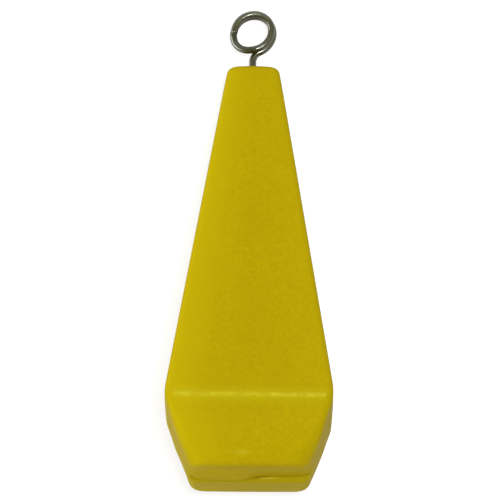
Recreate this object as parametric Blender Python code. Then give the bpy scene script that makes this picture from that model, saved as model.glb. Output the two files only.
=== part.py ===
"""Casting practice plug: two moulded half shells around a steel weight, with a bent wire eye.

The plug is modelled upright, with its axis on Z, its base at zero and its front half towards -Y.
The two halves meet on the plane of the wire, which lies in a channel moulded half in each of them.
At the end the whole plug is laid down on its rear face, as it lies on a table, with the eye towards +Y.
"""

import math

import bmesh
import bpy
from mathutils import Matrix, Vector

# Outside of the body, in metres
BODY_LENGTH = 0.0561
BASE_WIDTH = 0.0156
SHOULDER_WIDTH = 0.0225
SHOULDER_HEIGHT = 0.0100
TOP_WIDTH = 0.0067
EDGE_RADIUS = 0.0011
RIM_CORNER_RADIUS = 0.0002

# Inside of the shells, with the wall measured square to the axis
WALL = 0.0022
CAVITY_CORNER_RADIUS = 0.0006
RIB_THICKNESS = 0.0014
NECK_FLOOR = 0.0012

# Joint between the halves
SEAM_GAP = 0.0001
FIT_GAP = 0.0002
TONGUE_WIDTH = 0.0008
TONGUE_HEIGHT = 0.0006
TONGUE_END = 0.0020
PEG_DIAMETER = 0.0014
PEG_HEIGHT = 0.0018
PEG_CHAMFER = 0.0003
BOSS_DIAMETER = 0.0030
BOSS_SETBACK = 0.0003
BOSS_WALL_OVERLAP = 0.0005
ROOT_DEPTH = 0.0010

# Steel weight
WEIGHT_DIAMETER = 0.0100
WEIGHT_LENGTH = 0.0140
WEIGHT_CHAMFER = 0.0006
LOWER_RIB_SHARE = 0.22
UPPER_RIB_SHARE = 0.72

# Wire: the eye above the body and the anchor loop inside the neck
WIRE_DIAMETER = 0.0009
EYE_LONG_RADIUS = 0.00277
EYE_SHORT_RADIUS = 0.00255
EYE_TILT = math.radians(30.0)
EYE_RISE = 0.00494
EYE_START_ANGLE = math.radians(-69.0)
EYE_END_ANGLE = math.radians(547.0)
EYE_TIGHTENING = 0.06
EYE_TURN_GAP = 0.00015
EYE_SECOND_TURN_RISE = 0.00018
EYE_STEP_START = math.radians(195.0)
EYE_STEP_END = math.radians(287.0)
ANCHOR_DEPTH = 0.0115
ANCHOR_POST_DIAMETER = 0.0032
ANCHOR_BEND_RADIUS = 0.0014
ANCHOR_END_ANGLE = math.radians(-222.0)

# Counts that set how finely round shapes are cut
CORNER_STEPS = 5
FILLET_STEPS = 5
ROUND_STEPS = 24
WEIGHT_STEPS = 48
WIRE_BEVEL_RESOLUTION = 4
TURN_STEP = math.radians(10.0)
TANGENT_STEP = math.radians(0.1)
SMOOTH_ANGLE = math.radians(35.0)
WELD_DISTANCE = 1e-7

# Colours as linear red, green and blue, then roughness and metallic value
YELLOW_PLASTIC = ("yellow_plastic", (0.50, 0.37, 0.004), 0.42, 0.0)
BRIGHT_WIRE = ("bright_wire", (0.42, 0.41, 0.37), 0.28, 1.0)
PLAIN_STEEL = ("plain_steel", (0.30, 0.30, 0.31), 0.50, 1.0)

# Values that follow from the sizes above
WIRE_RADIUS = WIRE_DIAMETER / 2
CHANNEL_RADIUS = WIRE_RADIUS + FIT_GAP
ANCHOR_RADIUS = ANCHOR_POST_DIAMETER / 2 + CHANNEL_RADIUS
ANCHOR_HEIGHT = BODY_LENGTH - ANCHOR_DEPTH
NECK_START = ANCHOR_HEIGHT - ANCHOR_RADIUS - CHANNEL_RADIUS - NECK_FLOOR
WEIGHT_BOTTOM = WALL + FIT_GAP
WEIGHT_STOP = WEIGHT_BOTTOM + WEIGHT_LENGTH + FIT_GAP
LOWER_RIB = WEIGHT_BOTTOM + LOWER_RIB_SHARE * WEIGHT_LENGTH
UPPER_RIB = WEIGHT_BOTTOM + UPPER_RIB_SHARE * WEIGHT_LENGTH
TAPER_ANGLE = math.atan2((SHOULDER_WIDTH - TOP_WIDTH) / 2, BODY_LENGTH - SHOULDER_HEIGHT)

FRONT = -1
REAR = 1


def clear_scene():
    for old in list(bpy.data.objects):
        bpy.data.objects.remove(old)


def make_material(finish):
    name, colour, roughness, metallic = finish
    material = bpy.data.materials.new(name)
    material.use_nodes = True
    shader = material.node_tree.nodes["Principled BSDF"]
    shader.inputs["Base Color"].default_value = (*colour, 1.0)
    shader.inputs["Roughness"].default_value = roughness
    shader.inputs["Metallic"].default_value = metallic
    return material


def add_object(name, data):
    obj = bpy.data.objects.new(name, data)
    bpy.context.scene.collection.objects.link(obj)
    return obj


def mesh_from(name, bm):
    """A mesh with its faces pointing out, smooth except at its sharp edges."""
    bmesh.ops.remove_doubles(bm, verts=bm.verts, dist=WELD_DISTANCE)
    bmesh.ops.recalc_face_normals(bm, faces=bm.faces)
    mesh = bpy.data.meshes.new(name)
    bm.to_mesh(mesh)
    bm.free()
    mesh.shade_smooth()
    mesh.set_sharp_from_angle(angle=SMOOTH_ANGLE)
    return mesh


def combine(target, name, bm, operation):
    """Joins or cuts a helper solid with the target, and leaves the helper hidden."""
    helper = add_object(f"{target.name}_{name}", mesh_from(name, bm))
    helper.hide_render = True
    helper.display_type = "WIRE"
    helper.parent = target
    modifier = target.modifiers.new(name, "BOOLEAN")
    modifier.operation = operation
    modifier.solver = "EXACT"
    modifier.object = helper


def loft(rings):
    """A closed solid through rings of points that have the same count."""
    bm = bmesh.new()
    loops = [[bm.verts.new(point) for point in ring] for ring in rings]
    for lower, upper in zip(loops, loops[1:]):
        for i in range(len(lower)):
            j = (i + 1) % len(lower)
            bm.faces.new((lower[i], lower[j], upper[j], upper[i]))
    bm.faces.new(reversed(loops[0]))
    bm.faces.new(loops[-1])
    return bm


def turned(rows, steps, place):
    """A solid of revolution about Z through (height, radius) rows, moved by the matrix place."""
    rings = []
    for height, radius in rows:
        angles = [2 * math.pi * i / steps for i in range(steps)]
        rings.append([place @ Vector((radius * math.cos(a), radius * math.sin(a), height)) for a in angles])
    return loft(rings)


def across(x, z):
    """Places a turned shape at this point of the seam plane, with its height measured towards +Y."""
    return Matrix.Translation((x, 0, z)) @ Matrix.Rotation(-math.pi / 2, 4, "X")


def half_width(z):
    """Half the width of the body, before its edges are rounded, at a height above the base."""
    if z < SHOULDER_HEIGHT:
        share = z / SHOULDER_HEIGHT
        return (BASE_WIDTH + share * (SHOULDER_WIDTH - BASE_WIDTH)) / 2
    share = (z - SHOULDER_HEIGHT) / (BODY_LENGTH - SHOULDER_HEIGHT)
    return (SHOULDER_WIDTH + share * (TOP_WIDTH - SHOULDER_WIDTH)) / 2


def rounded_square(half, radius, z):
    """The points of a square section with round corners, anticlockwise from above."""
    points = []
    for corner in range(4):
        middle = math.pi / 4 + corner * math.pi / 2
        cx = math.copysign(half - radius, math.cos(middle))
        cy = math.copysign(half - radius, math.sin(middle))
        for step in range(CORNER_STEPS + 1):
            angle = corner * math.pi / 2 + step / CORNER_STEPS * math.pi / 2
            points.append(Vector((cx + radius * math.cos(angle), cy + radius * math.sin(angle), z)))
    return points


def rounded_corner(before, corner, after):
    """Points of the arc of EDGE_RADIUS that rounds one corner of a flat outline."""
    back = (before - corner).normalized()
    on = (after - corner).normalized()
    half_angle = back.angle(on) / 2
    centre = corner + (back + on).normalized() * (EDGE_RADIUS / math.sin(half_angle))
    reach = EDGE_RADIUS / math.tan(half_angle)
    first = corner + back * reach - centre
    turn = first.angle_signed(corner + on * reach - centre)
    return [centre + Matrix.Rotation(-turn * i / FILLET_STEPS, 2) @ first for i in range(FILLET_STEPS + 1)]


def body_rings():
    """Sections of the whole body, from the flat of the base to the flat of the top."""
    outline = [
        Vector((0, 0)),
        Vector((BASE_WIDTH / 2, 0)),
        Vector((SHOULDER_WIDTH / 2, SHOULDER_HEIGHT)),
        Vector((TOP_WIDTH / 2, BODY_LENGTH)),
        Vector((0, BODY_LENGTH)),
    ]
    rows = []
    for before, corner, after in zip(outline, outline[1:], outline[2:]):
        rows += rounded_corner(before, corner, after)
    rings = []
    for half, z in rows:
        rim_half = rows[0].x if z < SHOULDER_HEIGHT else rows[-1].x
        radius = min(EDGE_RADIUS, half - rim_half + RIM_CORNER_RADIUS)
        rings.append(rounded_square(half, radius, z))
    return rings


def chamber(bottom, top):
    """The hollow between two heights, a wall's thickness inside the body."""
    heights = [bottom, top]
    if bottom < SHOULDER_HEIGHT < top:
        heights.insert(1, SHOULDER_HEIGHT)
    return loft([rounded_square(half_width(z) - WALL, CAVITY_CORNER_RADIUS, z) for z in heights])


def chambers():
    """Bottom and top of each hollow, with the ribs and the stop of the weight left between them."""
    return {
        "base_chamber": (WALL, LOWER_RIB),
        "shoulder_chamber": (LOWER_RIB + RIB_THICKNESS, UPPER_RIB),
        "weight_chamber": (UPPER_RIB + RIB_THICKNESS, WEIGHT_STOP),
        "upper_chamber": (WEIGHT_STOP + RIB_THICKNESS, NECK_START),
    }


def saddles():
    """A round bar that notches the two ribs, where the weight lies in them."""
    bottom = (WALL + LOWER_RIB) / 2
    top = (UPPER_RIB + RIB_THICKNESS + WEIGHT_STOP) / 2
    radius = WEIGHT_DIAMETER / 2 + FIT_GAP
    return turned([(bottom, radius), (top, radius)], WEIGHT_STEPS, Matrix())


def rim_path(inset, end):
    """One side of the seam's outline at an inset from the body's surface, from the neck to the base."""
    top = BODY_LENGTH - end
    return [
        (half_width(top) - inset, top),
        (SHOULDER_WIDTH / 2 - inset, SHOULDER_HEIGHT),
        (half_width(inset) - inset, inset),
    ]


def mirrored(path):
    """The same path on the other side of the axis."""
    return [(-x, z) for x, z in path]


def rim_ridge(clearance):
    """The tongue that runs round the rim under the neck, or its groove where a clearance is given."""
    reach = TONGUE_WIDTH / 2 + clearance
    outer = rim_path(WALL / 2 - reach, TONGUE_END - clearance)
    inner = rim_path(WALL / 2 + reach, TONGUE_END - clearance)
    outline = outer + mirrored(outer)[::-1] + mirrored(inner) + inner[::-1]
    depths = (ROOT_DEPTH, -TONGUE_HEIGHT - clearance)
    return loft([[Vector((x, y, z)) for x, z in outline] for y in depths])


def boss_places():
    """Where the two bosses of the shoulder stand, beside the weight."""
    x = SHOULDER_WIDTH / 2 - WALL - BOSS_DIAMETER / 2 + BOSS_WALL_OVERLAP
    return {"left_peg": (-x, SHOULDER_HEIGHT), "right_peg": (x, SHOULDER_HEIGHT)}


def boss(x, z, side):
    """A round pillar from the wall to just short of the seam."""
    near = SEAM_GAP / 2 + BOSS_SETBACK
    far = SHOULDER_WIDTH / 2 - WALL / 2
    rows = [(side * near, BOSS_DIAMETER / 2), (side * far, BOSS_DIAMETER / 2)]
    return turned(rows, ROUND_STEPS, across(x, z))


def peg(x, z):
    """A locating peg of the rear half, with a chamfered tip."""
    root = SEAM_GAP / 2 + BOSS_SETBACK + ROOT_DEPTH
    radius = PEG_DIAMETER / 2
    rows = [(root, radius), (PEG_CHAMFER - PEG_HEIGHT, radius), (-PEG_HEIGHT, radius - PEG_CHAMFER)]
    return turned(rows, ROUND_STEPS, across(x, z))


def socket(x, z):
    """The hole of the front half that takes a peg."""
    radius = PEG_DIAMETER / 2 + FIT_GAP
    return turned([(ROOT_DEPTH, radius), (-PEG_HEIGHT - FIT_GAP, radius)], ROUND_STEPS, across(x, z))


def arc(centre, radius, start, end):
    """Points on a circle in the seam plane, one each TURN_STEP or closer, the last one included."""
    count = max(2, math.ceil(abs(end - start) / TURN_STEP))
    angles = [start + (end - start) * i / count for i in range(count + 1)]
    return [Vector((centre[0] + radius * math.cos(a), 0, centre[1] + radius * math.sin(a))) for a in angles]


def anchor_path(start, end_angle):
    """The buried wire from a height on the axis: straight down, a side bend, then round the post."""
    bend = ANCHOR_BEND_RADIUS
    meet = math.acos(bend / (ANCHOR_RADIUS + bend))
    bend_height = ANCHOR_HEIGHT + (ANCHOR_RADIUS + bend) * math.sin(meet)
    side_bend = arc((bend, bend_height), bend, math.pi, math.pi + meet)
    loop = arc((0, ANCHOR_HEIGHT), ANCHOR_RADIUS, meet, end_angle)
    return [Vector((0, 0, start))] + side_bend + loop[1:]


def eye_point(angle):
    """A point of the eye's tilted oval loop, which tightens, and steps forward to pass its own stem."""
    turns = (angle - EYE_START_ANGLE) / (2 * math.pi)
    along = math.cos(angle - EYE_TILT) / EYE_LONG_RADIUS
    aside = math.sin(angle - EYE_TILT) / EYE_SHORT_RADIUS
    radius = (1 - EYE_TIGHTENING * turns) / math.hypot(along, aside)
    share = min(1.0, max(0.0, (angle - EYE_STEP_START) / (EYE_STEP_END - EYE_STEP_START)))
    step = share * share * (3 - 2 * share)
    middle = Vector((0, 0, BODY_LENGTH + EYE_RISE))
    second_turn = Vector((0, -WIRE_DIAMETER - EYE_TURN_GAP, EYE_SECOND_TURN_RISE))
    return middle + step * second_turn + radius * Vector((math.cos(angle), 0, math.sin(angle)))


def eye_path():
    """The wire above the body: a bend that leaves the axis and runs smoothly into the loop."""
    start = eye_point(EYE_START_ANGLE)
    heading = eye_point(EYE_START_ANGLE + TANGENT_STEP) - start
    lean = math.atan2(heading.x, heading.z)
    bend = start.x / (1 - math.cos(lean))
    points = arc((bend, start.z - bend * math.sin(lean)), bend, math.pi, math.pi - lean)
    count = math.ceil((EYE_END_ANGLE - EYE_START_ANGLE) / TURN_STEP)
    for i in range(1, count + 1):
        points.append(eye_point(EYE_START_ANGLE + (EYE_END_ANGLE - EYE_START_ANGLE) * i / count))
    return points


def tube(name, points, radius):
    """A curve with a round section along the points, closed at both ends."""
    curve = bpy.data.curves.new(name, "CURVE")
    curve.dimensions = "3D"
    curve.bevel_depth = radius
    curve.bevel_resolution = WIRE_BEVEL_RESOLUTION
    curve.use_fill_caps = True
    spline = curve.splines.new("POLY")
    spline.points.add(len(points) - 1)
    for place, point in zip(spline.points, points):
        place.co = (*point, 1.0)
    spline.use_smooth = True
    return curve


def wire_channel():
    """The channel that the buried wire lies in, from above the top to just past the wire's end."""
    beyond = 2 * FIT_GAP / ANCHOR_RADIUS
    points = anchor_path(BODY_LENGTH + EDGE_RADIUS, ANCHOR_END_ANGLE - beyond)
    guide = add_object("wire_channel_guide", tube("wire_channel", points, CHANNEL_RADIUS))
    bm = bmesh.new()
    bm.from_mesh(bpy.data.meshes.new_from_object(guide))
    bpy.data.objects.remove(guide)
    return bm


def half_body(name, side, material):
    """One half of the solid body, cut on the seam plane, with its hollows taken out."""
    bm = loft(body_rings())
    everything = bm.verts[:] + bm.edges[:] + bm.faces[:]
    seam = Vector((0, side * SEAM_GAP / 2, 0))
    cut = bmesh.ops.bisect_plane(
        bm, geom=everything, plane_co=seam, plane_no=(0, -side, 0), clear_outer=True
    )
    rim = [item for item in cut["geom_cut"] if isinstance(item, bmesh.types.BMEdge)]
    bmesh.ops.contextual_create(bm, geom=rim)
    half = add_object(name, mesh_from(name, bm))
    half.data.materials.append(material)
    for hollow, (bottom, top) in chambers().items():
        combine(half, hollow, chamber(bottom, top), "DIFFERENCE")
    return half


def make_rear_half(material):
    """The half with the tongue and the three locating pegs, one of them inside the wire's loop."""
    half = half_body("rear_half_shell", REAR, material)
    combine(half, "tongue", rim_ridge(0), "UNION")
    for name, (x, z) in boss_places().items():
        combine(half, f"{name}_boss", boss(x, z, REAR), "UNION")
        combine(half, name, peg(x, z), "UNION")
    combine(half, "anchor_peg", peg(0, ANCHOR_HEIGHT), "UNION")
    combine(half, "saddles", saddles(), "DIFFERENCE")
    combine(half, "wire_channel", wire_channel(), "DIFFERENCE")
    return half


def make_front_half(material):
    """The half with the groove and the three sockets that take the other half's tongue and pegs."""
    half = half_body("front_half_shell", FRONT, material)
    for name, (x, z) in boss_places().items():
        combine(half, f"{name}_boss", boss(x, z, FRONT), "UNION")
    combine(half, "saddles", saddles(), "DIFFERENCE")
    combine(half, "wire_channel", wire_channel(), "DIFFERENCE")
    combine(half, "groove", rim_ridge(FIT_GAP), "DIFFERENCE")
    for name, (x, z) in boss_places().items():
        combine(half, f"{name}_socket", socket(x, z), "DIFFERENCE")
    combine(half, "anchor_socket", socket(0, ANCHOR_HEIGHT), "DIFFERENCE")
    return half


def make_weight(material):
    """The turned steel slug that lies in the saddles of both halves."""
    radius = WEIGHT_DIAMETER / 2
    top = WEIGHT_BOTTOM + WEIGHT_LENGTH
    rows = [
        (WEIGHT_BOTTOM, radius - WEIGHT_CHAMFER),
        (WEIGHT_BOTTOM + WEIGHT_CHAMFER, radius),
        (top - WEIGHT_CHAMFER, radius),
        (top, radius - WEIGHT_CHAMFER),
    ]
    weight = add_object("weight_slug", mesh_from("weight_slug", turned(rows, WEIGHT_STEPS, Matrix())))
    weight.data.materials.append(material)
    return weight


def make_wire(material):
    """The eye, its stem, the buried shank and the anchor loop, bent from one length of wire."""
    buried = anchor_path(BODY_LENGTH, ANCHOR_END_ANGLE)
    wire = add_object("wire_eye", tube("wire_eye", buried[::-1] + eye_path(), WIRE_RADIUS))
    wire.data.materials.append(material)
    return wire


def lay_down(pieces):
    """Turns the plug onto its rear face, with the middle of its footprint's box at the origin."""
    plug = add_object("plug_axis", None)
    plug.rotation_euler.x = -(math.pi / 2 + TAPER_ANGLE)
    for piece in pieces:
        piece.parent = plug
    bpy.context.view_layer.update()
    graph = bpy.context.evaluated_depsgraph_get()
    corners = []
    for piece in pieces:
        shown = piece.evaluated_get(graph)
        mesh = shown.to_mesh()
        corners += [shown.matrix_world @ vertex.co for vertex in mesh.vertices]
        shown.to_mesh_clear()
    low = Vector(min(corner[i] for corner in corners) for i in range(3))
    high = Vector(max(corner[i] for corner in corners) for i in range(3))
    plug.location = (-(low.x + high.x) / 2, -(low.y + high.y) / 2, -low.z)


def main():
    clear_scene()
    plastic = make_material(YELLOW_PLASTIC)
    pieces = [
        make_rear_half(plastic),
        make_front_half(plastic),
        make_weight(make_material(PLAIN_STEEL)),
        make_wire(make_material(BRIGHT_WIRE)),
    ]
    lay_down(pieces)


main()
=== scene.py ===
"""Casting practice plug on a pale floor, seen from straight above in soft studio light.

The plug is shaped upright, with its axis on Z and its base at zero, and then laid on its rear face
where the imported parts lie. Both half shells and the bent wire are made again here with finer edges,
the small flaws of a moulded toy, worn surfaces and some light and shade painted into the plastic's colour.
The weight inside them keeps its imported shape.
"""

import math

import bpy
from mathutils import Matrix, Vector, noise


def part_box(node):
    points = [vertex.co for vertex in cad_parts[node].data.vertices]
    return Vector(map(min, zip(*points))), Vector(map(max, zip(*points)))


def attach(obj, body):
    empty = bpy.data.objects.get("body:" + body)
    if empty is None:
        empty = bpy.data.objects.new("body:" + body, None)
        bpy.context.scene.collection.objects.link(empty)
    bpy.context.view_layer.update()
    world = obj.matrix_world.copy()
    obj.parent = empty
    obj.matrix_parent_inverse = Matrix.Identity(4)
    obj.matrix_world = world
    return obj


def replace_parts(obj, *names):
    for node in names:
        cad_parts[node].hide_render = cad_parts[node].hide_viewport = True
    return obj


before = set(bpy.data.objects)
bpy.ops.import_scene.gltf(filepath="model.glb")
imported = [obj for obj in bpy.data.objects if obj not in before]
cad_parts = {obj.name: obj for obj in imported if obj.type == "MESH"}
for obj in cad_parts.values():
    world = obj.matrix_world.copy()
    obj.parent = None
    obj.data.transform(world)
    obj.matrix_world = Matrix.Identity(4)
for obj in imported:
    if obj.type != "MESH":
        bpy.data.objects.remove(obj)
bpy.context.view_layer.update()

MM = 0.001

# Outside of the body
BODY_LENGTH = 56.1 * MM
BASE_WIDTH = 15.6 * MM
SHOULDER_WIDTH = 22.5 * MM
SHOULDER_HEIGHT = 10.0 * MM
TOP_WIDTH = 6.7 * MM
EDGE_RADIUS = 1.12 * MM
FRONT_EDGE_RADIUS = 0.75 * MM
BASE_EDGE_RADIUS = 2.2 * MM
BASE_EDGE_FADE = (1 * MM, 9 * MM)
BASE_RIM_RADIUS = 1.35 * MM
TOP_RIM_RADIUS = 1.15 * MM
BASE_CORNER_RADIUS = 1.1 * MM
TOP_CORNER_RADIUS = 0.6 * MM
LOWER_FACE_BULGE = 0.10 * MM
BREAK_MARGINS = (0.2 * MM, 0.5 * MM, 1.0 * MM, 2.2 * MM)
TOP_CROWN = 0.16 * MM
TAPER_ANGLE = math.atan2(SHOULDER_WIDTH - TOP_WIDTH, 2 * (BODY_LENGTH - SHOULDER_HEIGHT))

# Seam between the halves, and what the halves hold
SEAM_GAP = 0.08 * MM
SEAM_LIP = 0.05 * MM
WALL = 2.2 * MM
CAVITY_CORNER_RADIUS = 0.6 * MM
RIB_THICKNESS = 1.4 * MM
FIT_GAP = 0.2 * MM
WEIGHT_DIAMETER = 10.0 * MM
WEIGHT_LENGTH = 14.0 * MM
LOWER_RIB_SHARE = 0.22
UPPER_RIB_SHARE = 0.72
NECK_START = 40.65 * MM

# Flaws of the moulding
SINK_DEPTH = 0.03 * MM
SINK_FINENESS = 110
SINK_SIDE_STEP = 40 * MM
SINK_CALM = 4 * MM
RIM_MARGIN = 3 * MM
FRONT_SHOULDER_WEAR = 0.18 * MM
REAR_SHOULDER_WEAR = 0.27 * MM
FRONT_CORNER_WEAR = (0.13 * MM, 0.0)
REAR_CORNER_WEAR = (0.05 * MM, 0.10 * MM)
SHOULDER_WEAR_REACH = 1.8 * MM
SHOULDER_WEAR_SPAN = (7 * MM, 10 * MM)
LEFT_PINCH = 0.165 * MM
LEFT_PINCH_FOOT = 0.65
LEFT_PINCH_RISE = (0, 2.5 * MM)
LEFT_PINCH_FADE = (3.5 * MM, 6.5 * MM)
LEFT_PINCH_SPAN = (2 * MM, 7 * MM)
BASE_SLOPE = 0.06 * MM
BASE_SLOPE_HEIGHT = 4.5 * MM
BASE_SLOPE_SPAN = (-2 * MM, 8 * MM)
FRONT_SHORTFALL = 0.85 * MM
SHORTFALL_REACH = (1.5 * MM, 4.5 * MM)
SHORTFALL_DEPTH = (1 * MM, 5 * MM)
LEFT_DRAG = 0.70 * MM
LEFT_DRAG_SPAN = (-2.0 * MM, 1.5 * MM)
LEFT_DRAG_DEPTH = 6.2 * MM
FAR_LEFT_LOSS = 0.35
FAR_LEFT_SPAN = (5.5 * MM, 7.6 * MM)

# Wear, and light painted along the long edges, the break and the base ledge
EDGE_WEAR_REACH = 0.6 * MM
# Painted highlight along the break line, a little below its ridge; it also sets a faint clear coat there
SHINE_DROP = 0.26 * MM
SHINE_REACH = 0.25 * MM
SHINE_SHARE = 0.9
SHINE_ENDS = (0.95 * MM, 1.25 * MM)
SIDE_SHINE = 0.4
# Painted glow: a wide pale band round the painted highlight on the break
PAINTED_GLOW_REACH = 0.95 * MM
PAINTED_GLOW_SHARE = 0.46
# Painted light: the faces paler towards their long edges, more on the left than on the right
EDGE_LIGHT_REACH = 3.3 * MM
RIGHT_EDGE_LIGHT = 0.28
EDGE_LIGHT_SPAN = (-5 * MM, 5 * MM)
FACE_SCUFF = (Vector((-0.8, -27.15, 20.5)) * MM, Vector((1.7, 0.50, 4.0)) * MM)
# Painted highlight: a pale streak on the ledge at the base
LEDGE_HIGHLIGHT = (Vector((2.5, -30.44, 12.65)) * MM, Vector((1.5, 0.22, 1.5)) * MM)

# Wire: the eye above the body and the anchor loop inside the neck
WIRE_RADIUS = 0.475 * MM
WIRE_FIT = 0.08 * MM
EYE_LONG_RADIUS = 2.774 * MM
EYE_SHORT_RADIUS = 2.548 * MM
EYE_TILT = math.radians(30.3)
EYE_RISE = 4.878 * MM
EYE_START_ANGLE = math.radians(-69.3)
EYE_END_ANGLE = math.radians(546.8)
EYE_TIGHTENING = 0.059
EYE_CROSSING = (math.radians(195.0), math.radians(287.0))
EYE_SECOND_TURN = Vector((-0.042, -1.05, 0.183)) * MM
WIRE_OFFSET = 0.117 * MM
ANCHOR_HEIGHT = BODY_LENGTH - 11.5 * MM
ANCHOR_RADIUS = 2.25 * MM
ANCHOR_BEND_RADIUS = 1.4 * MM
ANCHOR_END_ANGLE = math.radians(-222.0)
BURR = 0.22 * MM
BURR_ROWS = (0.97, 0.65, 0.38, 0.18, 0.06, 0.0)

# Colours
YELLOW = ((0.498, 0.368, 0.0002), (0.526, 0.394, 0.0003))
YELLOW_MOTTLE = (0.446, 0.326, 0.0002)
YELLOW_STREAK = (0.464, 0.337, 0.0002)
# Painted light, paler towards the long edges
YELLOW_PAINTED_EDGE_LIGHT = (0.590, 0.452, 0.0008)
YELLOW_RUBBED = (0.550, 0.425, 0.012)
# Painted glow round the highlight along the break
YELLOW_PAINTED_GLOW = (0.570, 0.488, 0.005)
# Painted highlight along the break
YELLOW_PAINTED_HIGHLIGHT = (0.673, 0.577, 0.018)
# Painted shade in the seam between the halves
YELLOW_PAINTED_SEAM_SHADE = (0.425, 0.338, 0.003)
YELLOW_SCUFF = (0.600, 0.490, 0.020)
# Painted highlight on the base ledge
YELLOW_LEDGE_HIGHLIGHT = (0.670, 0.550, 0.040)
WIRE_METAL = ((0.057, 0.058, 0.019), (0.092, 0.093, 0.036))
WIRE_STAIN = (0.036, 0.033, 0.014)
WIRE_EDGE = (0.35, 0.35, 0.25, 1.0)
STEEL = ((0.26, 0.26, 0.27), (0.38, 0.38, 0.39))
RUST = (0.14, 0.075, 0.035)
BOARD = ((0.37, 0.37, 0.37), (0.41, 0.41, 0.41))

# Stage: each lamp's name, compass angle, height angle, size and strength
LAMP_DISTANCE = 0.9
LAMPS = (
    ("top_lamp", 32, 82, 0.16, 4.2),
    ("front_lamp", 268, 12, 0.36, 1.45),
    ("left_lamp", 180, 17, 0.50, 3.1),
    ("right_lamp", -10, 35, 0.80, 0.3),
    ("back_lamp", 90, 30, 0.80, 1.0),
)
HORIZON_SHADE = (0.76, 0.76, 0.76)
ZENITH_SHADE = (0.10, 0.10, 0.10)
ZENITH_START = 0.85
FLOOR_HALF = 2.0
FLOOR_GLOW = 0.77

# Camera
CAMERA_AIM = Vector((-0.164, -0.151, 11.0)) * MM
CAMERA_DISTANCE = 1100 * MM
CAMERA_SIDE = math.radians(0.414)
CAMERA_TIP = math.radians(2.331)
CAMERA_ROLL = math.radians(0.603)
CAMERA_LENS = 596.1
CAMERA_SENSOR = 36.0

# Counts that set how finely shapes are cut
CORNER_STEPS = 8
FILLET_STEPS = 8
REFINE = 2
BASE_ROWS = 6
LOWER_FACE_ROWS = 4
LONG_FACE_ROWS = 6
WEIGHT_STEPS = 48
WIRE_SIDES = 20
TURN_STEP = math.radians(4.0)
TANGENT_STEP = math.radians(0.1)
SMOOTH_ANGLE = math.radians(35.0)
WELD_DISTANCE = 0.0001 * MM

# Values that follow from the sizes above
WEIGHT_BOTTOM = WALL + FIT_GAP
WEIGHT_STOP = WEIGHT_BOTTOM + WEIGHT_LENGTH + FIT_GAP
LOWER_RIB = WEIGHT_BOTTOM + LOWER_RIB_SHARE * WEIGHT_LENGTH
UPPER_RIB = WEIGHT_BOTTOM + UPPER_RIB_SHARE * WEIGHT_LENGTH
FRONT = -1.0
REAR = 1.0

FLOAT = "NodeSocketFloat"
WHOLE = "NodeSocketInt"
MATERIAL = "NodeSocketMaterial"


def smooth(value, low, high):
    """0 at low and 1 at high, with a soft start and end."""
    share = min(1.0, max(0.0, (value - low) / (high - low)))
    return share * share * (3 - 2 * share)


# Node trees


def add_node(tree, kind, given=None, **settings):
    """A node with its settings made, and its inputs either linked or set."""
    node = tree.nodes.new(kind)
    for key, value in settings.items():
        setattr(node, key, value)
    for key, value in (given or {}).items():
        if isinstance(value, bpy.types.NodeSocket):
            tree.links.new(value, node.inputs[key])
        else:
            node.inputs[key].default_value = value
    return node


def calc(tree, operation, first, second=0.0):
    return add_node(tree, "ShaderNodeMath", {0: first, 1: second}, operation=operation).outputs[0]


def new_shape_tree(name, sizes):
    """An empty tree with a geometry input and a named input for each size."""
    tree = bpy.data.node_groups.new(name, "GeometryNodeTree")
    tree.interface.new_socket("Geometry", in_out="INPUT", socket_type="NodeSocketGeometry")
    for label, kind in sizes:
        tree.interface.new_socket(label, in_out="INPUT", socket_type=kind)
    tree.interface.new_socket("Geometry", in_out="OUTPUT", socket_type="NodeSocketGeometry")
    return tree, tree.nodes.new("NodeGroupInput").outputs


def close_shape_tree(tree, shape, material):
    """Ends a tree with real geometry that has its material."""
    real = add_node(tree, "GeometryNodeRealizeInstances", {"Geometry": shape}).outputs[0]
    painted = add_node(tree, "GeometryNodeSetMaterial", {"Geometry": real, "Material": material}).outputs[0]
    add_node(tree, "NodeGroupOutput", {"Geometry": painted})
    return tree


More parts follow.
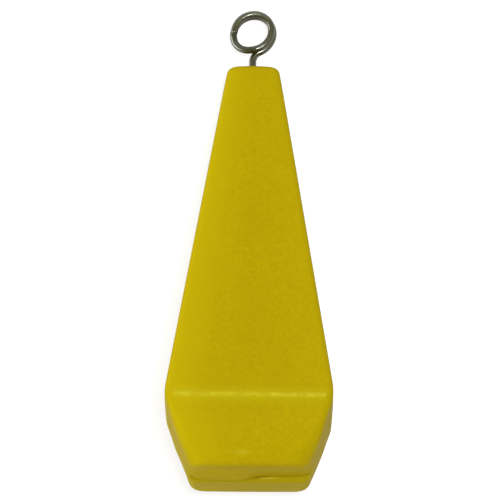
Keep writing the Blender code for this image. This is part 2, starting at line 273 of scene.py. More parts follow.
def half_shell_tree():
    """One half of a square section with round corners, carried along a profile.

    Each point of the profile holds half the width, the corner radius and the height of one row.
    """
    sizes = [
        ("Corner Steps", WHOLE),
        ("Seam Offset", FLOAT),
        ("Seam Lip", FLOAT),
        ("Side", FLOAT),
        ("Refine", WHOLE),
        ("Weld Distance", FLOAT),
        ("Material", MATERIAL),
    ]
    tree, given = new_shape_tree("half_shell", sizes)
    steps, seam, lip, side = (given[i] for i in range(1, 5))
    size = add_node(tree, "GeometryNodeAttributeDomainSize", {"Geometry": given["Geometry"]})
    columns = calc(tree, "ADD", calc(tree, "MULTIPLY", steps, 2), 6)
    width = calc(tree, "ADD", columns, 1)
    grid = add_node(
        tree, "GeometryNodeMeshGrid", {"Vertices X": size.outputs["Point Count"], "Vertices Y": width}
    ).outputs["Mesh"]
    index = add_node(tree, "GeometryNodeInputIndex").outputs[0]
    row = calc(tree, "FLOOR", calc(tree, "DIVIDE", calc(tree, "ADD", index, 0.5), width))
    column = calc(tree, "MODULO", calc(tree, "MODULO", index, width), columns)
    opposite = calc(tree, "SUBTRACT", calc(tree, "SUBTRACT", columns, 1), column)
    place = calc(tree, "MINIMUM", column, opposite)
    hand = calc(tree, "SIGN", calc(tree, "SUBTRACT", opposite, column))

    position = add_node(tree, "GeometryNodeInputPosition").outputs[0]
    row_point = add_node(
        tree,
        "GeometryNodeSampleIndex",
        {"Geometry": given["Geometry"], "Value": position, "Index": row},
        data_type="FLOAT_VECTOR",
    ).outputs[0]
    half, radius, height = add_node(tree, "ShaderNodeSeparateXYZ", {0: row_point}).outputs

    quarter = calc(tree, "DIVIDE", calc(tree, "MAXIMUM", calc(tree, "SUBTRACT", place, 2), 0), steps)
    angle = calc(tree, "MULTIPLY", quarter, math.pi / 2)
    middle = calc(tree, "SUBTRACT", half, radius)
    at_edge = calc(tree, "LESS_THAN", place, 0.5)
    on_corner = calc(tree, "GREATER_THAN", place, 1.5)
    near_seam = calc(tree, "SUBTRACT", 1, on_corner)

    round_x = calc(tree, "ADD", middle, calc(tree, "MULTIPLY", radius, calc(tree, "COSINE", angle)))
    lip_x = calc(tree, "SUBTRACT", round_x, calc(tree, "MULTIPLY", lip, at_edge))
    x = calc(tree, "MULTIPLY", calc(tree, "MAXIMUM", lip_x, 0), hand)

    round_y = calc(tree, "ADD", middle, calc(tree, "MULTIPLY", radius, calc(tree, "SINE", angle)))
    lip_rise = calc(tree, "MULTIPLY", lip, calc(tree, "SUBTRACT", near_seam, at_edge))
    seam_y = calc(tree, "MULTIPLY", near_seam, calc(tree, "ADD", seam, lip_rise))
    raw_y = calc(tree, "ADD", calc(tree, "MULTIPLY", on_corner, round_y), seam_y)
    top_y = calc(tree, "MAXIMUM", half, seam)
    y = calc(tree, "MULTIPLY", calc(tree, "MINIMUM", calc(tree, "MAXIMUM", raw_y, seam), top_y), side)

    point = add_node(tree, "ShaderNodeCombineXYZ", {0: x, 1: y, 2: height}).outputs[0]
    shape = add_node(tree, "GeometryNodeSetPosition", {"Geometry": grid, "Position": point}).outputs[0]
    shape = add_node(
        tree, "GeometryNodeMergeByDistance", {"Geometry": shape, "Distance": given["Weld Distance"]}
    ).outputs[0]
    turn_over = calc(tree, "GREATER_THAN", side, 0)
    shape = add_node(tree, "GeometryNodeFlipFaces", {"Mesh": shape, "Selection": turn_over}).outputs[0]
    finer = {"Mesh": shape, "Level": given["Refine"]}
    shape = add_node(tree, "GeometryNodeSubdivideMesh", finer).outputs[0]
    return close_shape_tree(tree, shape, given["Material"])


def bent_wire_tree():
    """A round wire along a path of points, with its cut ends rounded off.

    It notes how far along and around the wire each point lies, for the marks of drawing the wire.
    """
    sizes = [("Radius", FLOAT), ("Sides", WHOLE), ("Burr", FLOAT), ("Material", MATERIAL)]
    tree, given = new_shape_tree("bent_wire", sizes)
    path = add_node(tree, "GeometryNodeMeshToCurve", {"Mesh": given["Geometry"]}).outputs[0]
    length = add_node(tree, "GeometryNodeSplineLength").outputs["Length"]
    along = add_node(tree, "GeometryNodeSplineParameter").outputs["Length"]
    to_end = calc(tree, "MINIMUM", along, calc(tree, "SUBTRACT", length, along))
    burr = calc(tree, "MAXIMUM", given["Burr"], 1e-9)
    inward = calc(tree, "SUBTRACT", 1, calc(tree, "MINIMUM", calc(tree, "DIVIDE", to_end, burr), 1))
    left_over = calc(tree, "SUBTRACT", 1, calc(tree, "POWER", inward, 2))
    drop = calc(tree, "SUBTRACT", 1, calc(tree, "SQRT", left_over))
    loss = calc(tree, "MULTIPLY", drop, calc(tree, "DIVIDE", given["Burr"], given["Radius"]))
    swell = calc(tree, "SUBTRACT", 1, loss)
    path = add_node(
        tree,
        "GeometryNodeStoreNamedAttribute",
        {"Geometry": path, "Name": "along", "Value": along},
        data_type="FLOAT",
        domain="POINT",
    ).outputs[0]
    ring = add_node(
        tree, "GeometryNodeCurvePrimitiveCircle", {"Resolution": given["Sides"], "Radius": given["Radius"]}
    ).outputs["Curve"]
    around = add_node(tree, "GeometryNodeSplineParameter").outputs["Factor"]
    ring = add_node(
        tree,
        "GeometryNodeStoreNamedAttribute",
        {"Geometry": ring, "Name": "around", "Value": around},
        data_type="FLOAT",
        domain="POINT",
    ).outputs[0]
    sweep = {"Curve": path, "Profile Curve": ring, "Scale": swell, "Fill Caps": True}
    tube = add_node(tree, "GeometryNodeCurveToMesh", sweep).outputs[0]
    return close_shape_tree(tree, tube, given["Material"])


# Shapes


def point_line(name, points):
    """A plain line of points, for a tree to work on."""
    mesh = bpy.data.meshes.new(name)
    mesh.from_pydata(points, [(i, i + 1) for i in range(len(points) - 1)], [])
    return mesh


def add_object(name, data):
    obj = bpy.data.objects.new(name, data)
    bpy.context.scene.collection.objects.link(obj)
    return obj


def keep_shape(obj):
    """Takes the modifiers' result as the object's own plain mesh."""
    bpy.context.view_layer.update()
    graph = bpy.context.evaluated_depsgraph_get()
    made = bpy.data.meshes.new_from_object(obj.evaluated_get(graph))
    obj.modifiers.clear()
    obj.data = made
    made.name = obj.name


def grow(name, line, tree, values):
    """Runs a tree on a line of points and keeps the mesh that it makes."""
    obj = add_object(name, line)
    modifier = obj.modifiers.new(tree.name, "NODES")
    modifier.node_group = tree
    for item in tree.interface.items_tree:
        if item.in_out == "INPUT" and item.name in values:
            modifier[item.identifier] = values[item.name]
    keep_shape(obj)
    return obj


def fillet(before, corner, after, radius):
    """Points of the arc that rounds one corner of the body's profile."""
    back = (before - corner).normalized()
    on = (after - corner).normalized()
    half_angle = back.angle(on) / 2
    centre = corner + (back + on).normalized() * (radius / math.sin(half_angle))
    reach = radius / math.tan(half_angle)
    first = corner + back * reach - centre
    turn = first.angle_signed(corner + on * reach - centre)
    return [centre + Matrix.Rotation(-turn * i / FILLET_STEPS, 2) @ first for i in range(FILLET_STEPS + 1)]


def between(first, last, count, bulge=0.0):
    """Rows between two points of the profile, pushed out in the middle by the bulge."""
    rows = []
    for i in range(1, count):
        share = i / count
        rows.append(first.lerp(last, share) + Vector((bulge * math.sin(math.pi * share), 0)))
    return rows


def body_profile(edge_radius):
    """Rows of the body from the middle of the base to the middle of the top."""
    base = Vector((BASE_WIDTH / 2, 0))
    shoulder = Vector((SHOULDER_WIDTH / 2, SHOULDER_HEIGHT))
    top = Vector((TOP_WIDTH / 2, BODY_LENGTH))
    foot = Vector((0, 0))
    head = Vector((0, BODY_LENGTH))
    base_rim = fillet(foot, base, shoulder, BASE_RIM_RADIUS)
    break_line = fillet(base, shoulder, top, EDGE_RADIUS)
    top_rim = fillet(shoulder, top, head, TOP_RIM_RADIUS)
    down = (base - shoulder).normalized()
    up = (top - shoulder).normalized()
    below = [break_line[0] + down * margin for margin in reversed(BREAK_MARGINS)]
    above = [break_line[-1] + up * margin for margin in BREAK_MARGINS]
    rows = [foot] + between(foot, base_rim[0], BASE_ROWS) + base_rim
    rows += between(base_rim[-1], below[0], LOWER_FACE_ROWS, LOWER_FACE_BULGE) + below
    rows += break_line + above + between(above[-1], top_rim[0], LONG_FACE_ROWS) + top_rim + [head]
    points = []
    for half, height in rows:
        rim_half, corner = top_rim[-1].x, TOP_CORNER_RADIUS
        if height < SHOULDER_HEIGHT:
            rim_half, corner = base_rim[0].x, BASE_CORNER_RADIUS
        edge = BASE_EDGE_RADIUS + (edge_radius - BASE_EDGE_RADIUS) * smooth(height, *BASE_EDGE_FADE)
        radius = min(edge, max(0.0, half - rim_half) + corner, half)
        points.append((half, radius, height))
    return point_line("body_profile", points)


def half_width(height):
    """Half the width of the body, before its edges are rounded, at a height above the base."""
    if height < SHOULDER_HEIGHT:
        share = height / SHOULDER_HEIGHT
        return (BASE_WIDTH + share * (SHOULDER_WIDTH - BASE_WIDTH)) / 2
    share = (height - SHOULDER_HEIGHT) / (BODY_LENGTH - SHOULDER_HEIGHT)
    return (SHOULDER_WIDTH + share * (TOP_WIDTH - SHOULDER_WIDTH)) / 2


def chamber_profile(bottom, top):
    """Rows of one hollow between two heights, a wall's thickness inside the body."""
    heights = [bottom, top]
    if bottom < SHOULDER_HEIGHT < top:
        heights.insert(1, SHOULDER_HEIGHT)
    points = [(half_width(height) - WALL, CAVITY_CORNER_RADIUS, height) for height in heights]
    return point_line("chamber_profile", [(0, 0, bottom)] + points + [(0, 0, top)])


def chambers():
    """Bottom and top of each hollow, with the ribs and the stop of the weight left between them."""
    return [
        (WALL, LOWER_RIB),
        (LOWER_RIB + RIB_THICKNESS, UPPER_RIB),
        (UPPER_RIB + RIB_THICKNESS, WEIGHT_STOP),
        (WEIGHT_STOP + RIB_THICKNESS, NECK_START),
    ]


def base_shift(x, depth):
    """How far the short front half stops above the base, and where its left side drags down again."""
    left = smooth(-x, *LEFT_DRAG_SPAN) * (1 - FAR_LEFT_LOSS * smooth(-x, *FAR_LEFT_SPAN))
    return FRONT_SHORTFALL - LEFT_DRAG * left * (1 - smooth(depth, 0, LEFT_DRAG_DEPTH))


def mould_flaws(mesh, side):
    """Sinks the faces a little, crowns the top, wears one shoulder and leaves the base uneven."""
    for vertex in mesh.vertices:
        x, y, z = vertex.co
        depth = abs(y) - SEAM_GAP / 2
        half = half_width(z)
        inner = half - min(abs(x), abs(y))
        if depth > SEAM_LIP and RIM_MARGIN < z < BODY_LENGTH - RIM_MARGIN:
            from_break = abs(z - SHOULDER_HEIGHT)
            calm = smooth(inner, EDGE_RADIUS, SINK_CALM) * smooth(from_break, MM, SINK_CALM)
            spot = Vector((x, side * SINK_SIDE_STEP + y, z)) * SINK_FINENESS
            wave = 0.5 + 0.5 * noise.noise(spot)
            vertex.co -= vertex.normal * SINK_DEPTH * calm * wave
        near_top = smooth(z, BODY_LENGTH - RIM_MARGIN, BODY_LENGTH)
        vertex.co.z -= TOP_CROWN * near_top * (2 * x / TOP_WIDTH) ** 2
        near_shoulder = max(0.0, 1 - abs(z - SHOULDER_HEIGHT) / SHOULDER_WEAR_REACH)
        worn = FRONT_SHOULDER_WEAR if side == FRONT else REAR_SHOULDER_WEAR
        left_loss, right_loss = FRONT_CORNER_WEAR if side == FRONT else REAR_CORNER_WEAR
        at_corner = (depth / half) ** 3
        on_right = (worn + right_loss * at_corner) * smooth(x, *SHOULDER_WEAR_SPAN)
        on_left = left_loss * at_corner * smooth(-x, *SHOULDER_WEAR_SPAN)
        vertex.co.x += (on_left - on_right) * near_shoulder**2
        waist = LEFT_PINCH_FOOT + (1 - LEFT_PINCH_FOOT) * smooth(z, *LEFT_PINCH_RISE)
        waist *= 1 - smooth(z, *LEFT_PINCH_FADE)
        vertex.co.x += LEFT_PINCH * waist * smooth(-x, *LEFT_PINCH_SPAN)
        vertex.co.z += BASE_SLOPE * (1 - smooth(z, 0, BASE_SLOPE_HEIGHT)) * smooth(x, *BASE_SLOPE_SPAN)
        if side == FRONT:
            near, far = SHORTFALL_REACH
            reach = near + (far - near) * smooth(depth, *SHORTFALL_DEPTH)
            vertex.co.z += base_shift(x, depth) * (1 - smooth(z, 0, reach))


def arc(centre, radius, start, end):
    """Points on a circle in the seam plane."""
    count = max(2, math.ceil(abs(end - start) / TURN_STEP))
    angles = [start + (end - start) * i / count for i in range(count + 1)]
    return [Vector((centre[0] + radius * math.cos(a), 0, centre[1] + radius * math.sin(a))) for a in angles]


def anchor_path(start, end_angle):
    """The buried wire from a height on the axis: straight down, a side bend, then round the post."""
    bend = ANCHOR_BEND_RADIUS
    meet = math.acos(bend / (ANCHOR_RADIUS + bend))
    bend_height = ANCHOR_HEIGHT + (ANCHOR_RADIUS + bend) * math.sin(meet)
    side_bend = arc((bend, bend_height), bend, math.pi, math.pi + meet)
    loop = arc((0, ANCHOR_HEIGHT), ANCHOR_RADIUS, meet, end_angle)
    return [Vector((0, 0, start))] + side_bend + loop[1:]


def eye_point(angle):
    """A point of the eye's tilted oval loop, which tightens, and steps forward to pass its own stem."""
    turns = (angle - EYE_START_ANGLE) / (2 * math.pi)
    along = math.cos(angle - EYE_TILT) / EYE_LONG_RADIUS
    aside = math.sin(angle - EYE_TILT) / EYE_SHORT_RADIUS
    radius = (1 - EYE_TIGHTENING * turns) / math.hypot(along, aside)
    centre = Vector((0, 0, BODY_LENGTH + EYE_RISE)) + EYE_SECOND_TURN * smooth(angle, *EYE_CROSSING)
    return centre + radius * Vector((math.cos(angle), 0, math.sin(angle)))


def eye_path():
    """The wire above the body: a bend that leaves the axis and runs smoothly into the loop."""
    start = eye_point(EYE_START_ANGLE)
    heading = eye_point(EYE_START_ANGLE + TANGENT_STEP) - start
    lean = math.atan2(heading.x, heading.z)
    bend = start.x / (1 - math.cos(lean))
    points = arc((bend, start.z - bend * math.sin(lean)), bend, math.pi, math.pi - lean)
    count = math.ceil((EYE_END_ANGLE - EYE_START_ANGLE) / TURN_STEP)
    for i in range(1, count + 1):
        points.append(eye_point(EYE_START_ANGLE + (EYE_END_ANGLE - EYE_START_ANGLE) * i / count))
    return points


def off_centre(points):
    """The same path a little to the left, because the wire doesn't sit quite on the axis."""
    return [point - Vector((WIRE_OFFSET, 0, 0)) for point in points]


def closer_ends(points):
    """The same path with points near both of its ends, where the wire is rounded off."""
    for _ in ("last end", "first end"):
        end = points[-1]
        kept = [point for point in points if (point - end).length > BURR]
        back = (kept[-1] - end).normalized()
        points = (kept + [end + back * BURR * share for share in BURR_ROWS])[::-1]
    return points


def weight_bar():
    """A round bar for the saddles that the weight lies in."""
    bottom = (WALL + LOWER_RIB) / 2
    top = (UPPER_RIB + RIB_THICKNESS + WEIGHT_STOP) / 2
    return point_line("weight_bar", [(0, 0, bottom), (0, 0, top)])


# Surfaces


def new_finish(name):
    """An empty material with its shader, and the object's own coordinates."""
    material = bpy.data.materials.new(name)
    material.use_nodes = True
    tree = material.node_tree
    shader = tree.nodes["Principled BSDF"]
    place = add_node(tree, "ShaderNodeTexCoord").outputs["Object"]
    return material, tree, shader, place


def grain(tree, place, scale, detail=2.0, roughness=0.5, stretch=None):
    """Noise of a given fineness, drawn out along an axis where a stretch is given."""
    if stretch:
        place = add_node(tree, "ShaderNodeMapping", {"Vector": place, "Scale": stretch}).outputs[0]
    given = {"Vector": place, "Scale": scale, "Detail": detail, "Roughness": roughness}
    return add_node(tree, "ShaderNodeTexNoise", given).outputs[0]


def spread(tree, value, low, high, to_low, to_high):
    """Carries a value from one range to another, and stops at its ends."""
    given = {"Value": value, "From Min": low, "From Max": high, "To Min": to_low, "To Max": to_high}
    return add_node(tree, "ShaderNodeMapRange", given).outputs[0]


def tint(tree, share, first, second):
    """A colour between two colours."""
    node = add_node(tree, "ShaderNodeMix", data_type="RGBA")
    tree.links.new(share, node.inputs["Factor"])
    for label, colour in (("A", first), ("B", second)):
        socket = next(s for s in node.inputs if s.name == label and s.type == "RGBA")
        if isinstance(colour, bpy.types.NodeSocket):
            tree.links.new(colour, socket)
        else:
            socket.default_value = (*colour, 1.0)
    return next(s for s in node.outputs if s.type == "RGBA")


def relief(tree, height, strength, distance, under=None):
    """A bump in metres, laid over another one where that is given."""
    given = {"Height": height, "Strength": strength, "Distance": distance}
    if under:
        given["Normal"] = under
    return add_node(tree, "ShaderNodeBump", given).outputs[0]


def soft_spot(tree, place, centre, reach):
    """A soft spot, 1 at its centre and 0 where its reach ends."""
    given = {"Vector": place, "Location": centre, "Scale": reach}
    spot = add_node(tree, "ShaderNodeMapping", given, vector_type="TEXTURE").outputs[0]
    ball = add_node(tree, "ShaderNodeTexGradient", {"Vector": spot}, gradient_type="SPHERICAL")
    return ball.outputs["Fac"]


def yellow_plastic():
    """Waxy moulded plastic, mottled and worn at its edges, with painted light towards its long edges,
    painted highlights on the break and base ledge and painted shade in the seam.
    """
    material, tree, shader, place = new_finish("waxy_yellow_plastic")
    wear = add_node(tree, "ShaderNodeAttribute", attribute_name="edge_wear").outputs["Fac"]
    edge_light = add_node(tree, "ShaderNodeAttribute", attribute_name="painted_edge_light").outputs["Fac"]
    glow = add_node(tree, "ShaderNodeAttribute", attribute_name="break_glow").outputs["Fac"]
    ridge = add_node(tree, "ShaderNodeAttribute", attribute_name="break_shine").outputs["Fac"]
    cloud = spread(tree, grain(tree, place, 140, 3), 0.3, 0.7, 0, 1)
    colour = tint(tree, cloud, *YELLOW)
    mottle = grain(tree, place, 1900, 4, 0.65)
    colour = tint(tree, spread(tree, mottle, 0.40, 0.66, 0, 0.9), colour, YELLOW_MOTTLE)
    streak = grain(tree, place, 260, 4, 0.6, (1.0, 0.12, 1.0))
    colour = tint(tree, spread(tree, streak, 0.54, 0.74, 0, 0.5), colour, YELLOW_STREAK)
    # Painted light: paler towards the long edges, more on the left
    colour = tint(tree, edge_light, colour, YELLOW_PAINTED_EDGE_LIGHT)
    inset = add_node(tree, "ShaderNodeAttribute", attribute_name="edge_inset").outputs["Fac"]
    ends = spread(tree, inset, *SHINE_ENDS, 0, 1)
    # Painted glow round the break highlight, fading out before the long edges
    colour = tint(tree, calc(tree, "MULTIPLY", glow, ends), colour, YELLOW_PAINTED_GLOW)
    patchy = spread(tree, grain(tree, place, 900, 3, 0.6), 0.40, 0.58, 0.25, 1)
    rubbed = calc(tree, "MULTIPLY", wear, spread(tree, mottle, 0.42, 0.66, 0, 0.4))
    colour = tint(tree, rubbed, colour, YELLOW_RUBBED)
    # Painted highlight along the break, broken into patches; the same mask sets a faint clear coat
    shine = calc(tree, "MULTIPLY", calc(tree, "MULTIPLY", ridge, ends), patchy)
    colour = tint(tree, shine, colour, YELLOW_PAINTED_HIGHLIGHT)
    # Painted shade on the seam faces between the halves
    seam_shade = add_node(tree, "ShaderNodeAttribute", attribute_name="painted_seam_shade").outputs["Fac"]
    colour = tint(tree, calc(tree, "MULTIPLY", seam_shade, 0.9), colour, YELLOW_PAINTED_SEAM_SHADE)
    on_face = soft_spot(tree, place, *FACE_SCUFF)
    scuff = calc(tree, "MULTIPLY", on_face, spread(tree, mottle, 0.35, 0.6, 0.2, 0.7))
    colour = tint(tree, scuff, colour, YELLOW_SCUFF)
    # Painted highlight: a pale streak on the base ledge
    ledge_highlight = spread(tree, soft_spot(tree, place, *LEDGE_HIGHLIGHT), 0, 0.55, 0, 0.46)
    colour = tint(tree, ledge_highlight, colour, YELLOW_LEDGE_HIGHLIGHT)
    tree.links.new(colour, shader.inputs["Base Color"])
    dull = spread(tree, grain(tree, place, 420, 4, 0.6), 0.3, 0.7, 0.52, 0.64)
    tree.links.new(dull, shader.inputs["Roughness"])
    shader.inputs["Specular IOR Level"].default_value = 0.03
    tree.links.new(spread(tree, shine, 0, 1, 0, 0.05), shader.inputs["Coat Weight"])
    shader.inputs["Coat Roughness"].default_value = 0.30
    scratch = grain(tree, place, 500, 2, 0.5, (0.2, 1.0, 1.0))
    wave = relief(tree, grain(tree, place, 330, 2), 0.35, 0.05 * MM)
    lines = relief(tree, spread(tree, scratch, 0.60, 0.66, 0, 1), 0.20, 0.008 * MM, wave)
    peel = relief(tree, grain(tree, place, 2400, 3), 0.30, 0.012 * MM, lines)
    tree.links.new(peel, shader.inputs["Normal"])
    return material


def bright_wire():
    """Drawn steel wire, dulled all over, with the die's fine lines and a clear film that still shines."""
    material, tree, shader, place = new_finish("drawn_bright_wire")
    along = add_node(tree, "ShaderNodeAttribute", attribute_name="along").outputs["Fac"]
    around = add_node(tree, "ShaderNodeAttribute", attribute_name="around").outputs["Fac"]
    run = add_node(tree, "ShaderNodeCombineXYZ", {0: along, 1: around}).outputs[0]
    lines = grain(tree, run, 1, 1, 0.5, (320.0, 60.0, 1.0))
    patch = grain(tree, place, 800, 4, 0.6)
    colour = tint(tree, spread(tree, patch, 0.35, 0.65, 0, 1), *WIRE_METAL)
    stain = spread(tree, grain(tree, place, 2300, 3), 0.62, 0.75, 0, 0.7)
    colour = tint(tree, stain, colour, WIRE_STAIN)
    tree.links.new(colour, shader.inputs["Base Color"])
    shader.inputs["Metallic"].default_value = 1.0
    tree.links.new(spread(tree, patch, 0.3, 0.7, 0.42, 0.52), shader.inputs["Roughness"])
    shader.inputs["Specular Tint"].default_value = WIRE_EDGE
    shader.inputs["Coat Weight"].default_value = 0.41
    shader.inputs["Coat Roughness"].default_value = 0.14
    shader.inputs["Coat IOR"].default_value = 3.0
    tree.links.new(relief(tree, lines, 0.9, 0.011 * MM), shader.inputs["Coat Normal"])
    drawn = relief(tree, lines, 0.10, 0.002 * MM)
    pitted = relief(tree, grain(tree, place, 2500, 2), 0.10, 0.003 * MM, drawn)
    tree.links.new(pitted, shader.inputs["Normal"])
    return material


def turned_steel():
    """Steel bar as it comes off the lathe, with a little rust."""
    material, tree, shader, place = new_finish("turned_steel")
    rings = grain(tree, place, 2200, 2, 0.5, (0.02, 1.0, 0.2))
    rust = spread(tree, grain(tree, place, 420, 5, 0.65), 0.55, 0.72, 0, 0.8)
    bare = tint(tree, rings, *STEEL)
    tree.links.new(tint(tree, rust, bare, RUST), shader.inputs["Base Color"])
    tree.links.new(spread(tree, rust, 0, 0.8, 1.0, 0.35), shader.inputs["Metallic"])
    tree.links.new(spread(tree, rust, 0, 0.8, 0.38, 0.75), shader.inputs["Roughness"])
    tree.links.new(relief(tree, rings, 0.35, 0.02 * MM), shader.inputs["Normal"])
    return material


def pale_floor():
    """White board that reads as white and keeps the plug's soft shadow."""
    material, tree, shader, place = new_finish("pale_board")
    fleck = grain(tree, place, 60, 4)
    tree.links.new(tint(tree, fleck, *BOARD), shader.inputs["Base Color"])
    shader.inputs["Roughness"].default_value = 0.9
    shader.inputs["Specular IOR Level"].default_value = 0.0
    shader.inputs["Emission Color"].default_value = (1.0, 1.0, 1.0, 1.0)
    path = add_node(tree, "ShaderNodeLightPath").outputs
    seen = calc(tree, "ADD", path["Is Camera Ray"], path["Is Glossy Ray"])
    seen = calc(tree, "ADD", seen, path["Is Transmission Ray"])
    tree.links.new(spread(tree, seen, 0, 1, 0, FLOOR_GLOW), shader.inputs["Emission Strength"])
    return material


# Pieces


def laid_down():
    """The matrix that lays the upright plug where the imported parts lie."""
    low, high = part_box("weight_slug")
    upright_middle = Vector((0, 0, -WEIGHT_BOTTOM - WEIGHT_LENGTH / 2))
    turn = Matrix.Rotation(-(math.pi / 2 + TAPER_ANGLE), 4, "X")
    return Matrix.Translation((low + high) / 2) @ turn @ Matrix.Translation(upright_middle)


def wear_and_painted_light_marks(mesh):
    """Notes on each point how near it lies to the edges and to the break line, for worn plastic, painted
    light and painted shade.

    The inset is in metres, along the face from the nearest long edge.
    """
    wear, inset, glow, shine, edge_light, seam_shade = [], [], [], [], [], []
    for vertex in mesh.vertices:
        x, y, z = vertex.co
        half = half_width(z)
        from_side = half - abs(x)
        from_face = half - abs(y)
        skin = min(abs(from_side), abs(from_face))
        to_edge = math.hypot(from_side, from_face)
        to_break = math.hypot(skin, z - SHOULDER_HEIGHT)
        to_rims = math.hypot(skin, min(z, BODY_LENGTH - z))
        wear.append(math.exp(-((min(to_edge, to_break, to_rims) / EDGE_WEAR_REACH) ** 2)))
        below_break = math.hypot(skin, z - SHOULDER_HEIGHT + SHINE_DROP)
        inset.append(max(from_side, from_face, 0.0))
        facing = 1.0 if -y > abs(x) else SIDE_SHINE
        # Painted glow round the break highlight, weaker on the side faces
        glow.append(facing * PAINTED_GLOW_SHARE * math.exp(-((below_break / PAINTED_GLOW_REACH) ** 2)))
        # Painted highlight along the break, weaker on the side faces
        shine.append(facing * SHINE_SHARE * math.exp(-((below_break / SHINE_REACH) ** 2)))
        # Painted light: paler towards the long edges, less on the right
        left = RIGHT_EDGE_LIGHT + (1 - RIGHT_EDGE_LIGHT) * smooth(-x, *EDGE_LIGHT_SPAN)
        edge_light.append(left * math.exp(-inset[-1] / EDGE_LIGHT_REACH))
        # Painted shade on the seam faces between the halves
        seam_shade.append(1.0 if abs(y) < (SEAM_GAP + SEAM_LIP) / 2 else 0.0)
    marks = {
        "edge_wear": wear,
        "edge_inset": inset,
        "break_glow": glow,
        "break_shine": shine,
        "painted_edge_light": edge_light,
        "painted_seam_shade": seam_shade,
    }
    for name, values in marks.items():
        mesh.attributes.new(name, "FLOAT", "POINT").data.foreach_set("value", values)


def carve(shell, cutters):
    """Cuts the hollows out of a shell."""
    for cutter in cutters:
        modifier = shell.modifiers.new(cutter.name, "BOOLEAN")
        modifier.operation = "DIFFERENCE"
        modifier.solver = "EXACT"
        modifier.object = cutter
    keep_shape(shell)
    for cutter in cutters:
        bpy.data.objects.remove(cutter)


def lay(piece, place):
    """Lays a finished piece down and shades it smooth up to its sharp edges."""
    piece.data.transform(place)
    piece.data.shade_smooth()
    piece.data.set_sharp_from_angle(angle=SMOOTH_ANGLE)
    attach(piece, "root")


def make_half(name, side, trees, material, place):
    """One half shell, hollowed for the weight and the wire."""
    shell_tree, wire_tree = trees
    shape = {
        "Corner Steps": CORNER_STEPS,
        "Seam Offset": SEAM_GAP / 2,
        "Seam Lip": SEAM_LIP,
        "Side": side,
        "Refine": REFINE,
        "Weld Distance": WELD_DISTANCE,
        "Material": material,
    }
    edge_radius = FRONT_EDGE_RADIUS if side == FRONT else EDGE_RADIUS
    half = grow(name, body_profile(edge_radius), shell_tree, shape)
    mould_flaws(half.data, side)
    hollow = dict(shape, **{"Seam Offset": -WALL, "Seam Lip": 0.0, "Refine": 0})
    cutters = []
    for bottom, top in chambers():
        cutters.append(grow("chamber", chamber_profile(bottom, top), shell_tree, hollow))
    bar_radius = WEIGHT_DIAMETER / 2 + FIT_GAP
    bar = {"Radius": bar_radius, "Sides": WEIGHT_STEPS, "Burr": 0.0, "Material": material}
    cutters.append(grow("saddles", weight_bar(), wire_tree, bar))
    beyond = 2 * FIT_GAP / ANCHOR_RADIUS
    buried = off_centre(anchor_path(BODY_LENGTH + EDGE_RADIUS, ANCHOR_END_ANGLE - beyond))
    bore = dict(bar, **{"Radius": WIRE_RADIUS + WIRE_FIT, "Sides": WIRE_SIDES})
    cutters.append(grow("wire_channel", point_line("channel_path", buried), wire_tree, bore))
    carve(half, cutters)
    wear_and_painted_light_marks(half.data)
    lay(half, place)
    return half


def make_wire(tree, material, place):
    """The eye, its stem, the buried shank and the anchor loop, bent from one length of wire."""
    path = closer_ends(off_centre(anchor_path(BODY_LENGTH, ANCHOR_END_ANGLE)[::-1] + eye_path()))
    shape = {"Radius": WIRE_RADIUS, "Sides": WIRE_SIDES, "Burr": BURR, "Material": material}
    wire = grow("bent_wire_eye", point_line("wire_path", path), tree, shape)
    lay(wire, place)
    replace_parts(wire, "wire_eye")


# Stage


def soft_box(name, azimuth, elevation, size, strength):
    """A square lamp that faces the plug from a compass angle, with 0 towards +X and 90 towards +Y."""
    light = bpy.data.lights.new(name, "AREA")
    light.size = size
    light.energy = strength
    lamp = add_object(name, light)
    across, up = math.radians(azimuth), math.radians(elevation)
    out = Vector((math.cos(across) * math.cos(up), math.sin(across) * math.cos(up), math.sin(up)))
    lamp.location = out * LAMP_DISTANCE
    lamp.rotation_euler = out.to_track_quat("Z", "Y").to_euler()


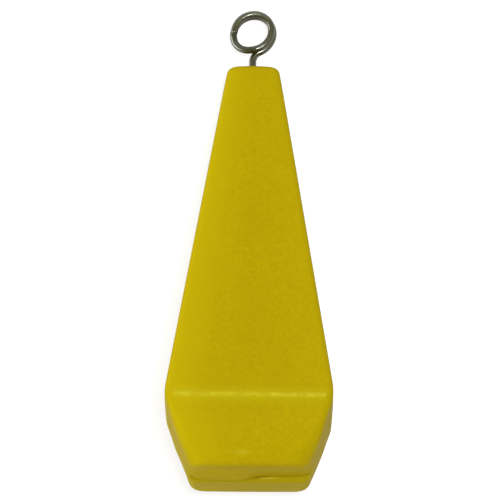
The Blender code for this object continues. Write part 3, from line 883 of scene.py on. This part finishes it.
def make_sky():
    """Soft studio surroundings, pale round the floor and dimmer overhead."""
    world = bpy.data.worlds.new("studio")
    bpy.context.scene.world = world
    world.use_nodes = True
    tree = world.node_tree
    place = add_node(tree, "ShaderNodeTexCoord").outputs["Generated"]
    height = add_node(tree, "ShaderNodeSeparateXYZ", {0: place}).outputs["Z"]
    shade = tint(tree, spread(tree, height, 0, ZENITH_START, 0, 1), HORIZON_SHADE, ZENITH_SHADE)
    tree.links.new(shade, tree.nodes["Background"].inputs["Color"])


def make_stage():
    """Floor, lamps and surroundings."""
    half = FLOOR_HALF
    corners = [(-half, -half, 0), (half, -half, 0), (half, half, 0), (-half, half, 0)]
    board = bpy.data.meshes.new("floor_board")
    board.from_pydata(corners, [], [(0, 1, 2, 3)])
    board.materials.append(pale_floor())
    add_object("floor_board", board)
    for lamp in LAMPS:
        soft_box(*lamp)
    make_sky()


def make_camera():
    """A long lens almost straight above, turned as the photograph is."""
    back = Vector((math.sin(CAMERA_SIDE), -math.sin(CAMERA_TIP), 1.0)).normalized()
    right = Vector((0, 1, 0)).cross(back).normalized()
    up = back.cross(right)
    turned_right = math.cos(CAMERA_ROLL) * right + math.sin(CAMERA_ROLL) * up
    turned_up = -math.sin(CAMERA_ROLL) * right + math.cos(CAMERA_ROLL) * up
    camera = add_object("photo_camera", bpy.data.cameras.new("photo_camera"))
    camera.data.sensor_width = CAMERA_SENSOR
    camera.data.lens = CAMERA_LENS
    camera.data.clip_start = 0.05
    camera.data.clip_end = 20.0
    placed = Matrix((turned_right, turned_up, back)).transposed().to_4x4()
    placed.translation = CAMERA_AIM + back * CAMERA_DISTANCE
    camera.matrix_world = placed
    bpy.context.scene.camera = camera


def main():
    scene = bpy.context.scene
    scene.view_settings.view_transform = "Standard"
    place = laid_down()
    trees = (half_shell_tree(), bent_wire_tree())
    plastic = yellow_plastic()
    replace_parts(make_half("front_shell", FRONT, trees, plastic, place), "front_half_shell")
    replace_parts(make_half("rear_shell", REAR, trees, plastic, place), "rear_half_shell")
    make_wire(trees[1], bright_wire(), place)
    steel = turned_steel()
    for material_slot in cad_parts["weight_slug"].material_slots:
        material_slot.material = steel
    make_stage()
    make_camera()


main()
